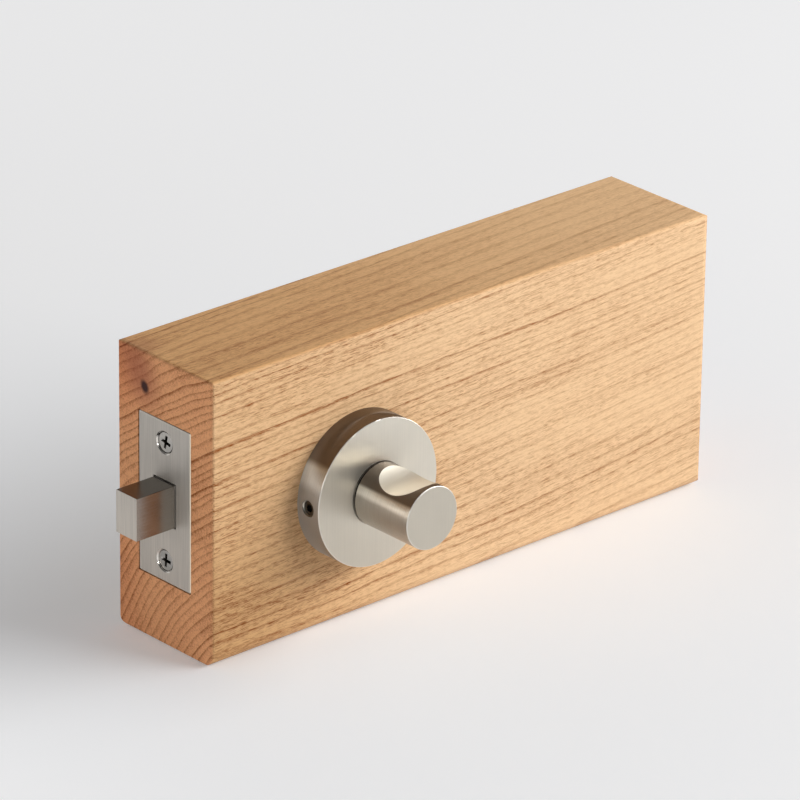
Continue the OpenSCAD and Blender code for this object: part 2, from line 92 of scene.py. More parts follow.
# %% The photograph's viewing angle
AZIMUTH, ELEVATION, ROLL = math.radians(-42.296), math.radians(23.848), math.radians(0.798)
CAMERA_PLACE = (-1.24251, -1.35615, 0.86696)
LENS, SENSOR_W, PHOTO_W = 280.33, 36, 800

camera = bpy.data.objects.new("camera", bpy.data.cameras.new("camera"))
bpy.context.collection.objects.link(camera)
camera.data.sensor_width, camera.data.lens = SENSOR_W, LENS
camera.data.clip_start, camera.data.clip_end = 0.05, 60
camera.matrix_world = (
    Matrix.Translation(CAMERA_PLACE)
    @ Matrix.Rotation(AZIMUTH, 4, "Z")
    @ Matrix.Rotation(math.pi / 2 - ELEVATION, 4, "X")
    @ Matrix.Rotation(ROLL, 4, "Z")
)
bpy.context.scene.camera = camera
bpy.context.scene.view_settings.view_transform = "Standard"


def seen_at(point):
    """Pixel of the 800 px picture that a point in millimetres falls on."""
    seen = camera.matrix_world.inverted() @ (Vector(point) * MM)
    scale = LENS / SENSOR_W * PHOTO_W / -seen.z
    return round(PHOTO_W / 2 + seen.x * scale, 1), round(PHOTO_W / 2 - seen.y * scale, 1)


print("near top corner of the block at", seen_at((block_low.x, block_low.y, block_high.z)))

# %% [markdown]
# ## Tools for shapes
# Turned and milled metal needs only a few kinds of step: a bar, an outline spun on a lathe, an
# edge rounded over, and a hole cut out. Each one here wraps one bmesh operator. A hole could be
# built face by face, but an exact Boolean with a cutter is closer to what the drill does.

# %% Bars and rounded edges
SAME_PLACE = 1e-4
ON_CIRCLE = 0.01


def bar(low, high):
    """A rectangular bar between two corners."""
    low, high = Vector(low), Vector(high)
    shape = bmesh.new()
    bmesh.ops.create_cube(shape, size=1)
    bmesh.ops.scale(shape, vec=high - low, verts=shape.verts)
    bmesh.ops.translate(shape, vec=(low + high) / 2, verts=shape.verts)
    return shape


def round_over(shape, radius, steps, chosen):
    """Rounds the edges for which chosen(end, end) is true, and gives the shape back."""
    edges = [e for e in shape.edges if chosen(e.verts[0].co, e.verts[1].co)]
    bmesh.ops.bevel(shape, geom=edges, offset=radius, segments=steps, profile=0.5,
                    affect="EDGES", material=-1)
    return shape


def along(axis):
    """Chooses the edges that run along one axis."""
    return lambda a, b: all(abs(a[k] - b[k]) < SAME_PLACE for k in range(3) if k != axis)


def level(axis, height):
    """Chooses the edges that lie at one height on an axis."""
    return lambda a, b: all(abs(p[axis] - height) < SAME_PLACE for p in (a, b))


def ring(radius, height):
    """Chooses the edges of one ring of a turned shape."""
    return lambda a, b: level(2, height)(a, b) and all(
        abs(math.hypot(p.x, p.y) - radius) < ON_CIRCLE for p in (a, b))


trial = round_over(bar((0, 0, 0), (3, 2, 1)), 0.2, 3, along(0))
print("a bar with its four long edges rounded has", len(trial.faces), "faces")
trial.free()

# %% Turned shapes
LATHE_STEPS = 160


def turned(outline, closed=False, steps=LATHE_STEPS):
    """Spins an outline of (radius, height) points once round the Z axis."""
    shape = bmesh.new()
    corners = [shape.verts.new((r, 0, h)) for r, h in outline]
    pairs = zip(corners, corners[1:] + corners[:1] if closed else corners[1:])
    edges = [shape.edges.new(pair) for pair in pairs]
    bmesh.ops.spin(shape, geom=corners + edges, cent=(0, 0, 0), axis=(0, 0, 1), dvec=(0, 0, 0),
                   angle=math.tau, steps=steps, use_merge=True)
    bmesh.ops.remove_doubles(shape, verts=shape.verts, dist=SAME_PLACE)
    bmesh.ops.recalc_face_normals(shape, faces=shape.faces)
    return shape


def rod(radius, low, high, steps=LATHE_STEPS):
    """A plain rod round the Z axis."""
    return turned([(0, low), (radius, low), (radius, high), (0, high)], steps=steps)


def moved(shape, matrix):
    """Moves a shape by a matrix, and turns its faces outwards again if the matrix is a mirror."""
    bmesh.ops.transform(shape, matrix=matrix, verts=shape.verts)
    if matrix.determinant() < 0:
        bmesh.ops.recalc_face_normals(shape, faces=shape.faces)
    return shape


trial = rod(1, 0, 2)
print("a rod turned in", LATHE_STEPS, "steps has", len(trial.faces), "faces")
trial.free()

# %% Cutting with a Boolean
def cut(shape, *cutters, operation="DIFFERENCE"):
    """Takes the cutters away from a shape, or keeps what they share, and gives back the result."""
    blanks = []
    for part in (shape, *cutters):
        mesh = bpy.data.meshes.new("blank")
        part.to_mesh(mesh)
        part.free()
        blanks.append(bpy.data.objects.new("blank", mesh))
        bpy.context.collection.objects.link(blanks[-1])
    for cutter in blanks[1:]:
        step = blanks[0].modifiers.new("cut", "BOOLEAN")
        step.operation, step.solver, step.object = operation, "EXACT", cutter
    left = bmesh.new()
    left.from_object(blanks[0], bpy.context.evaluated_depsgraph_get())
    for blank in blanks:
        bpy.data.meshes.remove(blank.data)
    bmesh.ops.remove_doubles(left, verts=left.verts, dist=SAME_PLACE)
    return left


trial = cut(bar((0, 0, 0), (3, 3, 1)), bar((1, 1, -1), (2, 2, 2)))
print("a plate with a square hole has", len(trial.faces), "faces")
trial.free()

# %% [markdown]
# ## Tools for finishes
# A procedural finish is mostly arithmetic on a few noises, and arithmetic is easier to read as
# Python than as a list of nodes. A Reading wraps one socket, so that a sum of readings adds its
# Math node by itself. Every other node comes from one method, which sets the node's settings first
# and its sockets after. The room's light uses the same tools, so they belong to any node tree.

# %% Readings and finishes
class Reading:
    """One socket of a node tree, which sums and products can be written with."""

    def __init__(self, board, socket):
        self.board, self.socket = board, socket

    def math(self, operation, *terms):
        """Adds a Math node on these terms."""
        return self.board.node("Math", {"operation": operation}, dict(enumerate(terms)))

    def __add__(self, other):
        return self.math("ADD", self, other)

    def __sub__(self, other):
        return self.math("SUBTRACT", self, other)

    def __rsub__(self, other):
        return self.math("SUBTRACT", other, self)

    def __mul__(self, other):
        return self.math("MULTIPLY", self, other)

    def __truediv__(self, other):
        return self.math("DIVIDE", self, other)

    def __pow__(self, other):
        return self.math("POWER", self, other)

    __radd__, __rmul__ = __add__, __mul__


class Board:
    """A node tree that is being put together round its shader."""

    def __init__(self, owner, shader):
        owner.use_nodes = True
        self.tree = owner.node_tree
        self.shader = self.tree.nodes[shader]

    def set(self, **sockets):
        """Sets the shader's sockets, to a constant or a reading."""
        for name, value in sockets.items():
            self.feed(self.shader.inputs[name.replace("_", " ")], value)

    def feed(self, socket, value):
        """Links a reading to a socket, or sets the socket's own value."""
        if isinstance(value, Reading):
            self.tree.links.new(value.socket, socket)
        else:
            socket.default_value = value

    def node(self, kind, settings=None, sockets=None, out=0):
        """Adds a node: its settings, then the values or links of its sockets."""
        node = self.tree.nodes.new("ShaderNode" + kind)
        for name, value in (settings or {}).items():
            setattr(node, name, value)
        for name, value in (sockets or {}).items():
            self.feed(node.inputs[name], value)
        return Reading(self, node.outputs[out])

    def point(self):
        """The place on the piece, in millimetres."""
        metres = self.node("TexCoord", out="Object")
        return self.node("VectorMath", {"operation": "SCALE"}, {0: metres, "Scale": 1 / MM})

    def parts(self, vector):
        """The X, Y and Z of a vector."""
        return [self.node("SeparateXYZ", {}, {0: vector}, k) for k in range(3)]

    def noise(self, place, scale, detail=2.0, roughness=0.5):
        """A noise whose features are about 1 / scale millimetres along each axis."""
        spread = self.node("VectorMath", {"operation": "MULTIPLY"}, {0: place, 1: scale})
        return self.node("TexNoise", {}, {"Vector": spread, "Scale": 1.0, "Detail": detail,
                                          "Roughness": roughness})

    def line_noise(self, value):
        """A noise along one number."""
        return self.node("TexNoise", {"noise_dimensions": "1D"}, {"W": value, "Scale": 1.0})

    def ramp(self, value, start, end, low=0.0, high=1.0):
        """Goes smoothly from low to high while the value goes from start to end."""
        return self.node("MapRange", {"interpolation_type": "SMOOTHSTEP"},
                         {0: value, 1: start, 2: end, 3: low, 4: high})

    def blend(self, share, first, second, kind="MIX"):
        """Mixes two colours."""
        return self.node("Mix", {"data_type": "RGBA", "blend_type": kind},
                         {0: share, 6: first, 7: second}, 2)

    def tint(self, share, colour, filter_colour):
        """Multiplies a colour by another one, as far as the share says."""
        return self.blend(share, colour, filter_colour, "MULTIPLY")

    def grey(self, value):
        """A colour that is one number in red, green and blue."""
        return self.node("CombineXYZ", {}, {k: value for k in range(3)})

    def bump(self, height, depth):
        """Raises the surface by up to depth millimetres where the height is 1."""
        self.set(Normal=self.node("Bump", {}, {"Height": height, "Distance": depth * MM}))


class Finish(Board):
    """A material, on its Principled shader."""

    def __init__(self, name, **constants):
        self.material = bpy.data.materials.new(name)
        super().__init__(self.material, "Principled BSDF")
        self.set(**constants)


def lets_through(red, green, blue):
    """The shares of red, green and blue that a tint leaves, which may be more than 1."""
    return (red, green, blue, 1.0)


def tone(red, green, blue):
    """A colour as a paint chart gives it, from 0 to 255, as Blender's linear colour."""
    linear = [(c / 255 / 12.92) if c < 10.3 else ((c / 255 + 0.055) / 1.055) ** 2.4
              for c in (red, green, blue)]
    return (*linear, 1.0)


print("a mid grey of 128 is", [round(c, 3) for c in tone(128, 128, 128)])

# %% [markdown]
# ## Timber
# The block is sawn from a plank of light hardwood, off the middle of the trunk, so one family of
# growth rings shows on all its faces: as arcs on the sawn end and as long lines on the sides. A
# picture of wood would have to be cut and matched at every edge. Here one field in space gives the
# distance from the trunk's heart, and each face simply shows where it meets that field. The grain
# climbs a few degrees along the block, so the distance is measured on a sheared place.

# %% Distance from the heart of the trunk
HEART_Y, HEART_Z = -108.3, -73.9
RING_WIDTH = 2.75

timber = Finish("timber")
spot = timber.point()
x, y, z = timber.parts(spot)
from_end = x - block_low.x
climb = from_end * (from_end * 0.0002 + 0.03) * timber.ramp(z, 32, 102, 1.0, 0.55)
level_z = z - climb
sweep = timber.noise(spot, (0.006, 0.02, 0.02), detail=1)
waver = timber.noise(spot, (0.025, 0.08, 0.08), detail=2)
across, upward = y - HEART_Y, level_z - HEART_Z
heart = (across * across + upward * upward) ** 0.5
heart = heart + (sweep - 0.5) * 7 + (waver - 0.5) * 1.3
print("rings across the end face:", round((block_high.z - block_low.z) / RING_WIDTH))

# %% [markdown]
# ## Knot
# A pin knot shows near the top of the bolt end: a dark core, a warm halo, and rings that bend round
# it. A knot is a twig that grew outwards from the heart, so it is a thin rod in space. Its distance
# both darkens the wood and pushes the rings aside.

# %% The pin knot
KNOT = (block_low.x, 9.5, 86.2)
from_knot = timber.node("VectorMath", {"operation": "SUBTRACT"}, {0: spot, 1: KNOT})
knot_x, knot_y, knot_z = timber.parts(from_knot)
knot_out = knot_y * 0.5 + knot_z * 0.866
knot_side = knot_y * 0.866 - knot_z * 0.5
core_gap = (knot_side ** 2 * 0.9 + knot_out ** 2 * 0.5 + knot_x ** 2 * 0.2) ** 0.5
halo_out = knot_out - 4.5
halo_gap = (knot_side ** 2 + halo_out ** 2 * 0.45 + knot_x ** 2 * 0.6) ** 0.5
core = timber.ramp(core_gap + (waver - 0.5) * 1.6, 0.9, 2.3, 1.0, 0.0)
halo = timber.ramp(halo_gap, 1.0, 12, 1.0, 0.0)
heart = heart + halo * 0.9
print("knot at", [round(n, 1) for n in KNOT])

# %% [markdown]
# ## Growth rings, fibres and flecks
# Each ring starts pale and ends in a thin dark line, and rings differ in width and strength. Along
# the grain there are fine fibres and the short dark flecks of beech. Fibres and flecks are the same
# kind of noise, drawn out along the trunk: soft for the one, and cut off high for the other. The
# noises also push the rings about a little, because a sharp, even line looks printed.

# %% Fibres and flecks
FAR_SAWN = 1.2
far_depth = block_high.x - FAR_SAWN - x
end_depth = far_depth.math("MINIMUM", far_depth, from_end)
end_grain = timber.ramp(end_depth, 0.15, 0.9, 1.0, 0.0)
grain_place = timber.node("CombineXYZ", {}, {0: x, 1: y + from_end * 0.03, 2: level_z})
fibre = timber.noise(grain_place, (0.05, 1.3, 1.3), detail=3, roughness=0.6)
fine = timber.noise(grain_place, (0.45, 1.7, 1.7), detail=3, roughness=0.75)
dash = timber.noise(grain_place, (0.28, 3.4, 3.4), detail=1)
fleck = timber.ramp(dash, 0.55, 0.62)
patch = timber.noise(grain_place, (0.012, 0.06, 0.06), detail=2)
print("sawn ends reach", FAR_SAWN, "mm in from the far end")

# %% Rings
uneven = timber.line_noise(heart * 0.08)
break_up = timber.noise(grain_place, (0.035, 0.5, 0.5), detail=3, roughness=0.65)
ragged = (1 - end_grain * 0.75) * ((fine - 0.5) * 0.4 + (break_up - 0.5) * 1.6)
ring_count = (heart + (uneven - 0.5) * 4 + ragged) / RING_WIDTH
ring_part = ring_count.math("FRACT", ring_count)
ring_kind = timber.node("TexWhiteNoise", {"noise_dimensions": "1D"},
                        {"W": ring_count.math("FLOOR", ring_count)})
late = timber.ramp(ring_part, 0.45, 0.93) ** 2.2 * timber.ramp(ring_part, 0.955, 1.0, 1.0, 0.0)
good_years = timber.line_noise(heart * 0.04)
late = late * (ring_kind * 0.55 + 0.45) * timber.ramp(good_years, 0.35, 0.65, 0.6, 1.1)
late = late * timber.ramp(break_up, 0.32, 0.6, 0.55, 1.15)
print("timber nodes so far:", len(timber.tree.nodes))

# %% [markdown]
# ## Colour of the timber
# Sawn ends drink more oil than sides, so they are darker and redder, with stronger rings. The
# distance to the end of the block tells them apart. Each has one pale and one dark tone, and how
# dark a spot is adds up from its ring, fibres, flecks and patches. The end's tones are tuned to the
# bolt's end in shade, so part of their darkness and red is painted shade.

# %% How dark each spot is
PALE, LINE = tone(242, 204, 159), tone(148, 78, 0)
# The end-grain tones hold some painted shade: they are tuned to the bolt's end in shade.
END_PALE, END_LINE = tone(231, 166, 117), tone(128, 64, 12)

side_dark = late * 0.52 + timber.ramp(fibre, 0.45, 0.8) * 0.22
side_dark = side_dark + fleck * timber.ramp(patch, 0.35, 0.6, 0.16, 0.36)
side_dark = side_dark + timber.ramp(patch, 0.4, 0.8) * 0.16 + (fine - 0.5) * 0.95 + 0.02
# The top face band, where the grain is made fainter and the top's painted light goes.
TOP_FACE_DEPTH = 1.2
top_face = timber.ramp(z, block_high.z - TOP_FACE_DEPTH, block_high.z - 0.2)
side_dark = side_dark * timber.ramp(from_end, 0, 190, 1.28, 0.75) * (1 - top_face * 0.25)
end_dark = late * 0.54 + timber.ramp(ring_part, 0.2, 0.95) * 0.16 + (fine - 0.5) * 1.3
end_dark = end_dark + (fibre - 0.5) * 0.7 + fleck * 0.25 + timber.ramp(patch, 0.45, 0.7) * 0.2
side_colour = timber.blend(side_dark, PALE, LINE)
end_colour = timber.blend(end_dark, END_PALE, END_LINE)
print("side tones", [round(c, 2) for c in PALE[:3]], "to", [round(c, 2) for c in LINE[:3]])

# %% [markdown]
# ## Tints of the timber
# No block is one colour all over, and three of these drifts here are painted light and shade. Its
# top goes from yellowish to paler along its length, which is painted light for how the light falls
# on the top. The block is darker and warmer in tone near the bolt and low down, which is painted
# shade where the rose and knob shade it. The sawn end is redder at its back corners. The end's red
# is tuned to the bolt's end in shade, so the far end, which the window lights, gets less of it. Such
# drifts could be painted on as a picture, but a wide soft mask on the block's own coordinates does
# it without one, and a tint keeps the grain that is under it.

# %% Tints and surface of the timber
# Painted light: the top face is tinted lighter and more golden towards the far end, for how the
# light falls on it.
top_painted_light = timber.blend(timber.ramp(from_end, 70, 215), tone(255, 241, 220),
                        lets_through(1.09, 1.03, 0.94))
side_colour = timber.tint(top_face, side_colour, top_painted_light)
# Painted shade: the block is darkened and warmed low down near the bolt end, where the rose and knob
# shade its front.
low_painted_shade = timber.ramp(from_end, 0, 125, 1.0, 0.0) * timber.ramp(z, 10, 72, 1.0, 0.45)
side_colour = timber.tint(low_painted_shade, side_colour, tone(232, 218, 196))
back_corners = timber.ramp(z, 62, 90) * 0.8 + timber.ramp(z, 20, 47, 0.5, 0.0)
# Painted shade: the red tuned to the bolt's end in shade is taken out on the far end, which the
# window lights.
far_half = timber.ramp(from_end, 80, 140)
redder = timber.ramp(y, 4, 23) * back_corners * (1 - far_half)
end_colour = timber.tint(redder, end_colour, tone(244, 216, 205))
end_colour = timber.tint(far_half, end_colour, lets_through(0.86, 1.0, 1.14))
wood_colour = timber.blend(end_grain, side_colour, end_colour)
wood_colour = timber.blend(halo * 0.6, wood_colour, tone(150, 78, 58))
wood_colour = timber.blend(core, wood_colour, tone(62, 34, 30))
timber.set(Base_Color=wood_colour, Roughness=0.55 + fibre * 0.14 + end_grain * 0.1,
           Specular_IOR_Level=0.22)
timber.bump(fine * 0.6 + fibre * 0.4 - fleck * 0.3 - late * 0.3, 0.045)
print("timber has", len(timber.tree.nodes), "nodes")

# %% [markdown]
# ## Metals
# The roses and the knob are satin nickel, turned on a lathe. The forend and bolt are drawn steel.
# Both are brushed, and brush lines are too fine to model one by one. They are a noise that is long
# one way and a fraction of a millimetre the other, which tilts the surface a little and spreads
# each reflection across it. The same noise lets the colour and the roughness waver.

# %% Brushed and plain metals
def scaled(colour, share):
    """A colour made darker or lighter by one number."""
    return tuple(c * share for c in colour[:3]) + (1.0,)


def tinted(metal, share, colour):
    """Lets a metal's colour run a little darker and lighter than the one named."""
    return metal.blend(share + 0.5, scaled(colour, 0.82), scaled(colour, 1.12))


def cloudy(metal, spot):
    """The slow drift of tone that handling leaves on a metal."""
    return metal.noise(spot, (0.12, 0.12, 0.12), detail=2) - 0.5


def brushed(name, colour, roughness, lines, depth, streak=0.5):
    """A metal with brush lines: lines gives the noise's scale along X, Y and Z."""
    metal = Finish(name, Metallic=1.0)
    metal_spot = metal.point()
    strokes = metal.noise(metal_spot, lines, detail=2, roughness=0.6)
    cloud = cloudy(metal, metal_spot)
    metal.set(Base_Color=tinted(metal, (strokes - 0.5) * streak + cloud * 0.3, colour),
              Roughness=roughness + (strokes - 0.5) * 0.2 + cloud * 0.06)
    metal.bump(strokes, depth)
    return metal.material


def screw_steel(name, colour, roughness):
    """A bright head, with a recess that is painted dark below the head's top, as painted shade."""
    metal = Finish(name, Metallic=1.0)
    metal_spot = metal.point()
    blotch = metal.noise(metal_spot, (1.2, 1.2, 1.2), detail=3) - 0.5
    # Painted shade: the cross recess is darkened below the head's top, where shade falls in it.
    recess = metal.ramp(metal.parts(metal_spot)[0], block_low.x + 0.7, block_low.x + 1.6)
    metal.set(Base_Color=metal.blend(recess, tinted(metal, blotch * 1.2, colour), tone(70, 66, 62)),
              Roughness=roughness + blotch * 0.15)
    metal.bump(blotch, 0.02)
    return metal.material


print("a dark shade of mid grey is", [round(c, 3) for c in scaled(tone(128, 128, 128), 0.82)])

# %% [markdown]
# ## Nickel from the lathe
# A turned piece has two kinds of surface. Its round side carries fine rings from the tool, and its
# flat face is brushed in straight lines afterwards. The side is also painted darker and browner than
# the face, a painted dark reflection of the shaded timber and the dark ceiling that is strongest on
# top, with a painted highlight band lower on the side, where the low card on the left shines in it.
# Below its top, the rose's side is tinted bluer, a painted reflection. The rose's face is painted
# lighter towards its upper right, a painted sheen, and the narrow chamfer between side and face is
# painted bright, a painted highlight.
# Two materials could be given to the faces one by one. One material that measures the distance from
# the spindle's axis tells them apart by itself, and serves all the turned pieces. Anisotropy draws
# each highlight out across the lines, as brushing does.

# %% Turned and brushed nickel
ROSE_R, KNOB_R = 25, 10.6
KNOB_FACE_Y, ROSE_FACE_Y = place("knob")[0].y, place("inner_rose")[0].y


def lathe_masks(metal, from_axis, along_y):
    """Where the side of the rose, the side of the knob and the chamfers are."""
    rose_rim = metal.ramp(from_axis, ROSE_R - 0.3, ROSE_R - 0.25)
    rose_side = rose_rim * metal.ramp(along_y, ROSE_FACE_Y + 0.2, ROSE_FACE_Y + 0.3)
    knob_rim = metal.ramp(from_axis, KNOB_R - 0.35, KNOB_R - 0.25)
    knob_rim = knob_rim * metal.ramp(from_axis, KNOB_R + 0.05, KNOB_R + 0.1, 1.0, 0.0)
    knob_side = knob_rim * metal.ramp(along_y, KNOB_FACE_Y + 0.2, KNOB_FACE_Y + 0.3)
    side = rose_side + knob_side
    return rose_rim, rose_side, side, rose_rim + knob_rim - side


def lathe_brushed(name, colour, roughness, depth):
    """A turned metal: dull rings round its sides, and straight lines down its flat faces."""
    metal = Finish(name, Metallic=1.0, Anisotropic=0.8)
    metal_spot = metal.point()
    metal_x, along_y, metal_z = metal.parts(metal_spot)
    across_x, across_z = metal_x - spindle_x, metal_z - spindle_z
    from_axis = (across_x ** 2 + across_z ** 2) ** 0.5
    rose_rim, rose_side, side, chamfer = lathe_masks(metal, from_axis, along_y)
    rings = metal.noise(metal_spot, (0.03, 5, 0.03), detail=2, roughness=0.6)
    lines = metal.noise(metal_spot, (5, 0.1, 0.04), detail=2, roughness=0.6)
    strokes = lines + (rings - lines) * side
    waver = (strokes - 0.5) * (side * 0.8 + 0.5) + cloudy(metal, metal_spot) * 0.25
    nickel = tinted(metal, waver, colour)
    rise = across_z / from_axis
    # Painted shade and highlight on the sides of the rose and knob: they are darkened towards brown
    # as a painted dark reflection, most of all on top, and less in a painted highlight band lower
    # down.
    top = metal.ramp(rise, 0.5, 0.6)
    painted_highlight_band = metal.ramp(rise, 0.2, 0.36) * metal.ramp(rise, 0.5, 0.6, 1.0, 0.0)
    # Painted reflection: the rose's side below its top is tinted bluer.
    nickel = metal.tint(rose_side * (1 - top), nickel, lets_through(0.93, 1.0, 1.1))
    nickel = metal.blend(side * (0.45 + top * 0.43 - painted_highlight_band * 0.45), nickel, tone(106, 92, 80))
    # Painted sheen: the rose's face is tinted lighter towards its upper right, where the window's
    # light is reflected.
    paler = metal.ramp(across_x * 0.8 + across_z * 0.6, -22, 18)
    paler = paler * (metal.ramp(from_axis, KNOB_R + 0.1, KNOB_R + 0.2) - rose_rim)
    nickel = metal.tint(paler, nickel, lets_through(1.25, 1.27, 1.3))
    # Painted highlight: the chamfers of the rose and the knob are tinted near white, for the light
    # they catch.
    metal.set(Base_Color=metal.blend(chamfer, nickel, tone(230, 225, 216)),
              Roughness=roughness + (strokes - 0.5) * 0.15 - side * 0.04 + rose_side * 0.1)
    metal.bump(strokes * (side * 0.85 + 0.15), depth)
    return metal.material


print("rose face at y", round(ROSE_FACE_Y, 2), "and knob end at y", round(KNOB_FACE_Y, 2))

# %% [markdown]
# ## Drawn steel
# The forend is brushed upright on the face that shows at the door's edge. The bolt comes from a
# drawn bar, so its sides are smooth and dark with a few long lines, and only its end is brushed and
# bright. Besides that, the bolt's top is painted darker, a painted dark reflection, and its end and
# the lower part of the steel are painted brighter, as painted light. The countersinks and the
# plate's long edge are bare cuts whose pale tone is a painted highlight. Here too one material tells
# these places apart, by their distance from the plate, the bolt's end and the screws.

# %% Drawn and brushed steel
SCREW_CC, SINK_TOP_R = 40.6, 4


def bolt_masks(metal, depth_in, height):
    """Where the hidden and the long sides are, the top of the bolt, and its end."""
    behind_plate = metal.ramp(depth_in, forend_low.x + 0.3, forend_low.x + 0.5)
    bolt_side = metal.ramp(depth_in, bolt_low.x + 0.05, bolt_low.x + 0.2)
    before_plate = metal.ramp(depth_in, forend_low.x - 0.3, forend_low.x - 0.1, 1.0, 0.0)
    side = bolt_side * before_plate + behind_plate
    bolt_top = side * metal.ramp(height, bolt_high.z - 0.2, bolt_high.z - 0.1)
    bolt_end = metal.ramp(depth_in, bolt_low.x + 0.1, bolt_low.x + 0.3, 1.0, 0.0)
    return behind_plate, side, bolt_top, bolt_end


def sink_mask(metal, width_y, height):
    """Where the two countersinks are."""
    rise = height - lock_z
    rise = rise.math("ABSOLUTE", rise) - SCREW_CC / 2
    from_screw = (width_y ** 2 + rise ** 2) ** 0.5
    return metal.ramp(from_screw, SINK_TOP_R - 0.02, SINK_TOP_R + 0.02, 1.0, 0.0)


def mill_brushed(name, colour, roughness, depth):
    """A drawn steel: upright brush lines where it faces the door's edge, and smoother sides."""
    metal = Finish(name, Metallic=1.0, Anisotropic=0.5)
    metal_spot = metal.point()
    depth_in, width_y, height = metal.parts(metal_spot)
    behind_plate, side, bolt_top, bolt_end = bolt_masks(metal, depth_in, height)
    sink = sink_mask(metal, width_y, height) * (1 - behind_plate)
    upright = metal.noise(metal_spot, (0.1, 4, 0.05), detail=2, roughness=0.6)
    drawn = metal.noise(metal_spot, (0.08, 3, 5), detail=2, roughness=0.6)
    strokes = upright + (drawn - upright) * side
    steel = tinted(metal, (strokes - 0.5) * 1.9 + cloudy(metal, metal_spot) * 0.25, colour)
    # Painted shade: the bolt's top is darkened further, a painted dark reflection.
    steel = metal.blend(side * 0.5 + bolt_top * 0.42, steel, scaled(colour, 0.27))
    # Painted light: the bolt's end is tinted a little brighter.
    steel = metal.tint(bolt_end, steel, lets_through(1.1, 1.1, 1.1))
    # Painted light: the lower part of the forend and the bolt is tinted brighter.
    lower = metal.ramp(height, lock_z - 22, lock_z + 22, 1.0, 0.0)
    steel = metal.tint(lower, steel, lets_through(1.15, 1.13, 1.11))
    # Painted highlight: the plate's long front edge is tinted near white, for the light it catches.
    plate_edge = metal.ramp(width_y, forend_low.y + 0.3, forend_low.y + 0.4, 1.0, 0.0)
    steel = metal.blend(plate_edge, steel, tone(250, 238, 216))
    # The countersinks are bare cut metal, tinted paler as a painted highlight.
    metal.set(Base_Color=metal.blend(sink, steel, tone(232, 227, 219)),
              Roughness=roughness - side * 0.3 - sink * 0.3 + (strokes - 0.5) * 0.15)
    metal.bump(strokes * (1 - side * 0.9), depth)
    return metal.material


print("countersinks", SCREW_CC, "mm apart")

# %% All the metals
finishes = {
    "timber": timber.material,
    "satin_nickel": lathe_brushed("satin_nickel", tone(219, 212, 198), 0.42, 0.08),
    "satin_steel": mill_brushed("satin_steel", tone(190, 184, 176), 0.52, 0.06),
    "scoop_nickel": brushed("scoop_nickel", tone(222, 215, 201), 0.58, (0.1, 3, 3), 0.01, 0.2),
    "bright_steel": screw_steel("bright_steel", tone(186, 182, 176), 0.22),
    "zinc_steel": brushed("zinc_steel", tone(200, 204, 208), 0.28, (0.6, 3, 3), 0.004),
    "black_steel": brushed("black_steel", tone(92, 90, 86), 0.35, (3, 3, 3), 0.004),
    "spring_steel": brushed("spring_steel", tone(150, 150, 152), 0.25, (0.3, 6, 3), 0.003),
    "cast_alloy": brushed("cast_alloy", tone(186, 186, 188), 0.5, (1.6, 1.6, 1.6), 0.02),
}
print(len(finishes), "finishes")

# %% [markdown]
# ## Nylon
# The bushes and the bolt's guide are black moulded nylon. It has the faint orange-peel of its mould
# and a soft sheen, and no more colour than that.

# %% Moulded nylon
nylon = Finish("moulded_nylon")
peel = nylon.noise(nylon.point(), (2.2, 2.2, 2.2), detail=2)
nylon.set(Base_Color=nylon.blend(peel, tone(30, 30, 31), tone(46, 45, 45)),
          Roughness=0.42 + peel * 0.16)
nylon.bump(peel, 0.015)
finishes["moulded_nylon"] = nylon.material

for row in frame["record"]["subparts"]:
    for holder in frame["nodes"][row["node"]].material_slots:
        holder.material = finishes[row["material_slot"]]

# %% [markdown]
# ## Handing a shape over
# A finished shape goes into the scene as one object at the origin, with its place in its mesh. It is
# shaded smooth, except at edges sharper than 30 degrees. It hangs from the body that it moves with,
# takes its finish, and hides the CAD node that it stands for.

# %% Make a piece of a shape
SHARP_FROM = math.radians(30)


def make_piece(name, shape, body, slot, node):
    """Puts a finished shape into the scene, in place of its CAD node."""
    bmesh.ops.scale(shape, vec=(MM, MM, MM), verts=shape.verts)
    mesh = bpy.data.meshes.new(name)
    shape.to_mesh(mesh)
    shape.free()
    mesh.shade_smooth()
    mesh.set_sharp_from_angle(angle=SHARP_FROM)
    mesh.materials.append(finishes[slot])
    piece = bpy.data.objects.new(name, mesh)
    bpy.context.collection.objects.link(piece)
    normals = piece.modifiers.new("even_normals", "WEIGHTED_NORMAL")
    normals.keep_sharp, normals.weight = True, 80
    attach(piece, body)
    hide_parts(node)
    print(name, "has", len(mesh.polygons), "faces and stands for", node)
    return piece


# %% Places on the block
ACROSS = Matrix.Rotation(math.pi / 2, 4, "X")
INTO_END = Matrix.Rotation(math.pi / 2, 4, "Y")
ON_FRONT = Matrix.Translation((spindle_x, block_low.y, spindle_z)) @ ACROSS
ON_BACK = Matrix.Diagonal((1, -1, 1, 1)) @ ON_FRONT


def on_end(height):
    """Stands a shape on the block's end face, pointing into the timber."""
    return Matrix.Translation((block_low.x, 0, height)) @ INTO_END


print("the turn stands on the front at", [round(n, 1) for n in ON_FRONT.translation])

# %% [markdown]
# ## The block
# The long edges are rounded a lot underneath and a little on top, and the far end is rounder than
# the bolt's end. Where edges with different radii meet, one bevel makes a poor corner. So the blank
# is what three bars have in common, each rounded along one axis only. Everything that the lock needs
# is then cut out of it as it is at the bench: a shallow rebate for the forend, a bore for the tube,
# a bore across for the spindle, and holes for the through bolts and screws.

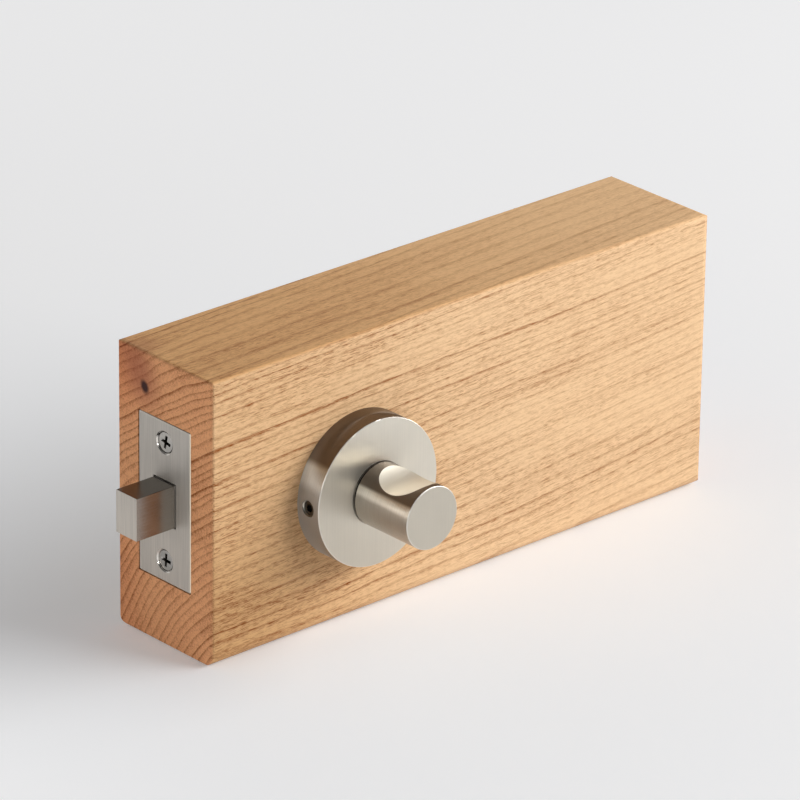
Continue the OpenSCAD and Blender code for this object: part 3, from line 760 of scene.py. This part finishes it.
# %% Timber block
TOP_R, FOOT_R, END_R, FAR_R = 1.5, 5, 1.5, 3.5
REBATE_W, REBATE_H, REBATE_DEPTH, CORNER_R = 25.5, 55.5, 3, 0.6
CASE_BORE_R, CASE_BORE_END = 11.4, -27.5
CROSS_BORE_R, PAST_BACK = 11, -47
BOLT_CC, BOLT_HOLE_R, PILLAR_HOLE_R, PILLAR_HOLE_END = 35, 2.5, 3.5, -34
PILOT_R, PILOT_END = 1.8, 21


def eased_bar(axis, up, low_r, high_r):
    """The block's bar, longer along one axis, with two radii on the edges that run that way."""
    past = Vector([float(k == axis) for k in range(3)])
    shape = bar(block_low - past, block_high + past)
    middle = (block_low[up] + block_high[up]) / 2
    for radius, side in ((low_r, -1), (high_r, 1)):
        round_over(shape, radius, 8, lambda a, b: along(axis)(a, b) and all(
            (p[up] - middle) * side > 0 for p in (a, b)))
    return shape


blank = cut(eased_bar(0, 2, FOOT_R, TOP_R), eased_bar(1, 0, END_R, FAR_R),
            eased_bar(2, 0, END_R, FAR_R), operation="INTERSECT")

rebate = bar((block_low.x - 1, -REBATE_W / 2, lock_z - REBATE_H / 2),
             (block_low.x + REBATE_DEPTH, REBATE_W / 2, lock_z + REBATE_H / 2))
round_over(rebate, CORNER_R, 4, along(0))
case_bore = moved(rod(CASE_BORE_R, 1, CASE_BORE_END - block_low.x), on_end(lock_z))
cross_bore = moved(rod(CROSS_BORE_R, PAST_BACK, 1), ON_FRONT)
holes = []
for side in (-1, 1):
    bolt_place = Matrix.Translation((0, 0, side * BOLT_CC / 2)) @ ON_FRONT
    holes.append(moved(rod(BOLT_HOLE_R, PAST_BACK, 1, 48), bolt_place))
    holes.append(moved(rod(PILLAR_HOLE_R, PAST_BACK, PILLAR_HOLE_END, 48), bolt_place))
    holes.append(moved(rod(PILOT_R, 1, PILOT_END, 48), on_end(lock_z + side * SCREW_CC / 2)))
make_piece("timber_block", cut(blank, rebate, case_bore, cross_bore, *holes), "root", "timber",
           "sample_block")

# %% [markdown]
# ## The forend
# The forend is a milled plate that lies flush in the rebate. It has nearly square corners, a slot
# for the bolt and two countersinks. Its front edge is eased a little, which is what catches the
# light along its long side. The slot and the countersinks keep the crisp edge of the cutter.

# %% Forend plate
PLATE_EDGE_R, SCREW_HOLE_R = 0.45, 2.05
SLOT_W, SLOT_H = 10.8, 15.4

plate = bar(forend_low, forend_high)
round_over(plate, CORNER_R, 4, along(0))
round_over(plate, PLATE_EDGE_R, 3, level(0, forend_low.x))
slot_cutter = bar((forend_low.x - 1, -SLOT_W / 2, lock_z - SLOT_H / 2),
                  (forend_high.x + 1, SLOT_W / 2, lock_z + SLOT_H / 2))
sinks = []
for side in (-1, 1):
    sink = turned([(0, -1), (SINK_TOP_R + 1, -1), (SCREW_HOLE_R, SINK_TOP_R - SCREW_HOLE_R),
                   (SCREW_HOLE_R, 4), (0, 4)], steps=96)
    sinks.append(moved(sink, on_end(lock_z + side * SCREW_CC / 2)))
make_piece("forend_plate", cut(plate, slot_cutter, *sinks), "root", "satin_steel", "forend")

# %% [markdown]
# ## The forend screws
# Each screw is a countersunk wood screw with a cross recess. Its head sits half a millimetre below
# the plate, so the countersink shows round it as a bright ring. The recess is two tapered bars cut
# into a turned blank.

# %% Countersunk screws
HEAD_TOP, HEAD_R, SHANK_R = 0.5, 3.45, 1.75
SCREW_L, TIP_R, TIP_START = 20, 0.4, 16
CROSS_W, CROSS_L, CROSS_DEPTH = 1.1, 4.6, 1.6
CROSS_FOOT_L, FOOT_SHARE_W = 1.8, 0.6


def cross_arm(turn):
    """One bar of the cross recess, shorter and narrower at its bottom."""
    arm = bar((-CROSS_L / 2, -CROSS_W / 2, HEAD_TOP),
              (CROSS_L / 2, CROSS_W / 2, HEAD_TOP + CROSS_DEPTH))
    mouth = [f for f in arm.faces if f.normal.z < -0.5]
    foot = [v for v in arm.verts if v.co.z > HEAD_TOP + 0.1]
    bmesh.ops.scale(arm, vec=(CROSS_FOOT_L / CROSS_L, FOOT_SHARE_W, 1), verts=foot)
    lid = bmesh.ops.extrude_discrete_faces(arm, faces=mouth)["faces"]
    bmesh.ops.translate(arm, vec=(0, 0, -1), verts=[v for f in lid for v in f.verts])
    return moved(arm, Matrix.Rotation(math.radians(turn), 4, "Z"))


for side, where, turn in ((1, "upper", 12), (-1, "lower", 4)):
    cone_end = HEAD_TOP + HEAD_R - SHANK_R
    screw = turned([(0, HEAD_TOP), (HEAD_R, HEAD_TOP), (SHANK_R, cone_end), (SHANK_R, TIP_START),
                    (TIP_R, SCREW_L), (0, SCREW_L)], steps=96)
    round_over(screw, 0.3, 3, ring(HEAD_R, HEAD_TOP))
    screw = cut(screw, cross_arm(turn), cross_arm(turn + 90))
    make_piece(f"countersunk_screw_{where}", moved(screw, on_end(lock_z + side * SCREW_CC / 2)),
               "root", "bright_steel", f"forend_screw_{where}")

# %% [markdown]
# ## The bolt
# The bolt is a plain bar of steel with crisp edges. Only its end and a little of its length show,
# but it slides out of sight, so it is modelled whole, with the slot at its back for the tail and the
# two rivet holes.

# %% Bolt
TAIL_T, TAIL_LAP, TAIL_LAP_H = 3.1, 12.05, 8.1
RIVET_R, RIVET_IN, RIVET_CC = 1.3, 6, 6

steel_bar = bar(bolt_low, bolt_high)
round_over(steel_bar, 0.2, 2, lambda a, b: level(0, bolt_low.x)(a, b) or along(0)(a, b))
tail_slot = bar((bolt_high.x - TAIL_LAP, -TAIL_T / 2, lock_z - TAIL_LAP_H / 2),
                (bolt_high.x + 1, TAIL_T / 2, lock_z + TAIL_LAP_H / 2))
rivets = []
for side in (-1, 1):
    rivet_place = Matrix.Translation((bolt_high.x - RIVET_IN + side * RIVET_CC / 2, 0, lock_z))
    rivets.append(moved(rod(RIVET_R, -8, 8, 48), rivet_place @ ACROSS))
make_piece("deadbolt", cut(steel_bar, tail_slot, *rivets), "bolt", "satin_steel", "bolt")

# %% [markdown]
# ## The roses
# A rose is a turned cup: a flat face with a bore in the middle, a rim, and a boss behind the face
# that holds the bush. Its outline is drawn once and spun. The grub screw's hole is tapped, so its
# cutter has a thread's ridges, and a glimpse of them shows in the hole as on the real one.

# %% Rose covers
ROSE_T, ROSE_FACE, EDGE_R = 10, 7.5, 0.3
RECESS_R, BOSS_R, BOSS_START = 22.8, 11, 4.5
BUSH_R, SEAT_R, SEAT_DEPTH = 8.05, 9.95, 1
GRUB_HEIGHT, THREAD_R, THREAD_ROOT_R, PITCH, RIDGES = 5, 2.75, 2.55, 0.6, 5


def rose():
    """A rose with its tapped hole, standing on its rim at the origin."""
    cover = turned([(BUSH_R, BOSS_START), (BOSS_R, BOSS_START), (BOSS_R, ROSE_FACE),
                    (RECESS_R, ROSE_FACE), (RECESS_R, 0), (ROSE_R, 0), (ROSE_R, ROSE_T),
                    (SEAT_R, ROSE_T), (SEAT_R, ROSE_T - SEAT_DEPTH),
                    (BUSH_R, ROSE_T - SEAT_DEPTH)], closed=True, steps=192)
    round_over(cover, EDGE_R, 3, ring(ROSE_R, ROSE_T))
    round_over(cover, EDGE_R / 2, 2, ring(SEAT_R, ROSE_T))
    ridges = [(0, -2), (THREAD_R, -2)]
    for k in range(RIDGES):
        ridges += [(THREAD_R, PITCH / 2 + PITCH * k), (THREAD_ROOT_R, PITCH + PITCH * k)]
    tap = turned(ridges + [(THREAD_ROOT_R, 4), (0, 4)], steps=64)
    grub_place = Matrix.Translation((-ROSE_R, 0, GRUB_HEIGHT)) @ INTO_END
    return cut(cover, moved(tap, grub_place))


make_piece("thumb_turn_rose", moved(rose(), ON_FRONT), "root", "satin_nickel", "inner_rose")
make_piece("release_rose", moved(rose(), ON_BACK), "root", "satin_nickel", "outer_rose")

# %% [markdown]
# ## Grub screws
# A grub screw sits just inside the rim's hole and bites on the base plate. Its hexagon socket is
# what can be seen.

# %% Grub screws
GRUB_R, GRUB_POINT_R, GRUB_BODY_L, GRUB_L = 2.5, 1.5, 1.7, 3.9
SOCKET_W, SOCKET_L, GRUB_RECESS = 2.5, 1.9, 0.7


def grub():
    """A grub screw in its place in a rose that stands at the origin."""
    stud = turned([(0, 0), (GRUB_R, 0), (GRUB_R, GRUB_BODY_L), (GRUB_POINT_R, GRUB_BODY_L),
                   (GRUB_POINT_R, GRUB_L), (0, GRUB_L)], steps=64)
    round_over(stud, 0.25, 2, ring(GRUB_R, 0))
    socket = rod(SOCKET_W / math.sqrt(3), -1, SOCKET_L, 6)
    grub_place = Matrix.Translation((-ROSE_R + GRUB_RECESS, 0, GRUB_HEIGHT)) @ INTO_END
    return moved(cut(stud, socket), grub_place)


make_piece("thumb_turn_rose_grub", moved(grub(), ON_FRONT), "root", "black_steel", "inner_rose_grub")
make_piece("release_rose_grub", moved(grub(), ON_BACK), "root", "black_steel", "outer_rose_grub")

# %% [markdown]
# ## The knob
# The knob is turned from bar, then a large cutter takes out the finger scoop. Behind it a collar
# and a journal run in the rose's bush. A subdivided cylinder could be pulled into this shape, but
# the scoop's crisp edge comes from one round surface meeting another, and a Boolean gives just that.
# The scoop is finished with a wheel of its own, so the faces that lie on the cutter's surface take
# a second, more even nickel.

# %% Knob
KNOB_START, KNOB_END = 10.8, 35.3
COLLAR_R, COLLAR_START = 7.5, 10.15
JOURNAL_R, JOURNAL_END = 6, -3
GROOVE_R, GROOVE_LOW, GROOVE_HIGH = 5.6, 2.85, 3.95
SCOOP_R, SCOOP_Z, SCOOP_AT = 13.5, 20.3, 24
SPINDLE_W, SPINDLE_END = 5.1, 8.5
PIN_HOLE_R, PIN_AT = 1.05, -1

JOURNAL = [(0, JOURNAL_END), (JOURNAL_R, JOURNAL_END), (JOURNAL_R, GROOVE_LOW),
           (GROOVE_R, GROOVE_LOW), (GROOVE_R, GROOVE_HIGH), (JOURNAL_R, GROOVE_HIGH),
           (JOURNAL_R, COLLAR_START), (COLLAR_R, COLLAR_START)]


def spindle_hole():
    """Blind square hole for the spindle."""
    return bar((-SPINDLE_W / 2, -SPINDLE_W / 2, JOURNAL_END - 1),
               (SPINDLE_W / 2, SPINDLE_W / 2, SPINDLE_END))


knob = turned(JOURNAL + [(COLLAR_R, KNOB_START), (KNOB_R, KNOB_START), (KNOB_R, KNOB_END),
                         (0, KNOB_END)], steps=256)
round_over(knob, EDGE_R, 3, ring(KNOB_R, KNOB_START))
round_over(knob, EDGE_R, 3, ring(KNOB_R, KNOB_END))
scoop = moved(rod(SCOOP_R, -12, 12, 320), Matrix.Translation((0, SCOOP_Z, SCOOP_AT)) @ INTO_END)
pin_hole = moved(rod(PIN_HOLE_R, -7, 7, 48), Matrix.Translation((0, 0, PIN_AT)) @ INTO_END)
turn_knob = make_piece("scooped_knob", moved(cut(knob, scoop, spindle_hole(), pin_hole), ON_FRONT),
                       "turn", "satin_nickel", "knob")

# %% The scoop's own finish
ON_SCOOP = 0.05

turn_knob.data.materials.append(finishes["scoop_nickel"])
scoop_axis_y, scoop_axis_z = block_low.y - SCOOP_AT, spindle_z + SCOOP_Z
for face in turn_knob.data.polygons:
    _, centre_y, centre_z = face.center / MM
    off_axis = math.hypot(centre_y - scoop_axis_y, centre_z - scoop_axis_z)
    face.material_index = int(abs(off_axis - SCOOP_R) < ON_SCOOP and abs(face.normal.x) < 0.01)
print("faces in the scoop:", sum(face.material_index for face in turn_knob.data.polygons))

# %% [markdown]
# ## The release button
# On the far side of the door a low button with a coin slot turns the same spindle from outside in
# an emergency. It is turned like the knob, and the slot is milled across it.

# %% Release button
HEAD_BUTTON_R, HEAD_START, HEAD_END = 10.2, 10.3, 12.9
COIN_W, COIN_DEPTH = 1.8, 1.7

button = turned(JOURNAL + [(COLLAR_R, HEAD_START), (HEAD_BUTTON_R, HEAD_START),
                           (HEAD_BUTTON_R, HEAD_END), (0, HEAD_END)], steps=192)
round_over(button, EDGE_R, 3, ring(HEAD_BUTTON_R, HEAD_END))
coin_slot = bar((-COIN_W / 2, -20, HEAD_END - COIN_DEPTH), (COIN_W / 2, 20, HEAD_END + 1))
make_piece("coin_release_button", moved(cut(button, coin_slot, spindle_hole()), ON_BACK), "turn",
           "satin_nickel", "release_button")

# %% [markdown]
# ## Floor
# The sample stands on a pale seamless sheet that runs out of the picture, so the floor and what is
# beyond it have to be one tone. A very large sheet does that. Part of its brightness is its own, so
# that it stays even, and the rest is light that falls on it, so that the block keeps its shadow.
# The window lights the right of the sheet most, so the paper is made paler away from it, and its own
# glow is a little stronger far behind the block and to its left.

# %% Seamless floor
SHEET_SIZE = 40
sheet_shape = bmesh.new()
bmesh.ops.create_grid(sheet_shape, x_segments=1, y_segments=1, size=SHEET_SIZE)
sheet_mesh = bpy.data.meshes.new("floor")
sheet_shape.to_mesh(sheet_mesh)
sheet_shape.free()
floor = bpy.data.objects.new("floor", sheet_mesh)
bpy.context.collection.objects.link(floor)
print("floor of", SHEET_SIZE * 2, "m laid")

# %% Paper of the floor
SHEET_GLOW, FAR_GLOW, LEFT_GLOW = 0.17, 0.14, 0.08
AWAY_X, AWAY_Y = 0.67, 0.74  # level direction from the camera to the block

paper = Finish("paper", Roughness=0.9, Specular_IOR_Level=0.0, Emission_Strength=1.0)
floor_x, floor_y, _ = paper.parts(paper.node("TexCoord", out="Object"))
to_window = paper.node("MapRange", {}, {0: floor_x * 0.8 - floor_y * 0.6, 1: -0.45, 2: 0.35,
                                        3: 0.0, 4: 1.0})
sheet = paper.blend(to_window, tone(251, 251, 252), tone(236, 236, 237))
from_block = (floor_x ** 2 + floor_y ** 2) ** 0.5
# The paper near the block is tinted cooler, which paints out the warm light that the timber bounces
# onto it.
near = paper.ramp(from_block, 0.1, 0.3, 1.0, 0.0)
paper.set(Base_Color=paper.tint(near, sheet, tone(249, 251, 253)))
seen = paper.node("LightPath", out="Is Camera Ray") + paper.node("LightPath", out="Is Glossy Ray")
far = paper.ramp(floor_y * AWAY_Y + floor_x * AWAY_X, 0.02, 0.6)
far = far * paper.ramp(floor_y - floor_x * 0.9, -0.3, 0.6, 0.25, 1.0)
left = paper.ramp(floor_x * -0.76 + floor_y * 0.35, 0.06, 0.22)
left = left * paper.ramp(floor_y, -0.06, 0.2, 1.0, 0.5)
paper.set(Emission_Color=paper.grey(seen * (far * FAR_GLOW + left * LEFT_GLOW + SHEET_GLOW)))
sheet_mesh.materials.append(paper.material)
print("paper has", len(paper.tree.nodes), "nodes")

# %% [markdown]
# ## Light
# The photograph is lit by one large soft window on the right, and a low pale card beyond the bolt's
# end throws a little light back on that end. The walls are bright near the floor, the ceiling is
# dark, and so is the room behind the camera. That is what draws the dark and bright bands on the
# round metal, and the nickel's sides add painted shade and a painted highlight band to them.
# Pictures of a real room would do this too, but a few numbers in the world's own light are easier to
# change.

# %% Room light
world = bpy.data.worlds.new("room")
bpy.context.scene.world = world
room = Board(world, "Background")
towards_wall = room.node("TexCoord", out="Object")
upward_share = room.parts(towards_wall)[2]
beyond = room.node("VectorMath", {"operation": "DOT_PRODUCT"},
                   {0: towards_wall, 1: (AWAY_X, AWAY_Y, 0)}, "Value")
brightness = room.ramp(upward_share, 0.2, 0.55, 1.0, 0.14)
brightness = brightness * room.ramp(beyond, -0.9, 0.1, 0.15, 1.0)
room.set(Color=room.grey(brightness), Strength=1.0)
print("room light from", len(room.tree.nodes), "nodes")

# %% Soft lamps
BLOCK_MIDDLE = Vector((0, 0, 0.047))


def soft_light(name, azimuth, elevation, distance, width, height, power):
    """A lamp of some size in metres that looks at the block from a direction in degrees."""
    lamp = bpy.data.lights.new(name, "AREA")
    lamp.shape, lamp.size, lamp.size_y, lamp.energy = "RECTANGLE", width, height, power
    light = bpy.data.objects.new(name, lamp)
    turn, lift = math.radians(azimuth), math.radians(elevation)
    level_share = math.cos(lift)
    towards = Vector((level_share * math.cos(turn), level_share * math.sin(turn), math.sin(lift)))
    light.location = BLOCK_MIDDLE + towards * distance
    light.rotation_euler = towards.to_track_quat("Z", "Y").to_euler()
    bpy.context.collection.objects.link(light)


soft_light("window", -40, 28, 1.8, 2.0, 0.9, 37.2)
soft_light("card", 182, 13, 1.2, 1.4, 0.18, 3.9)
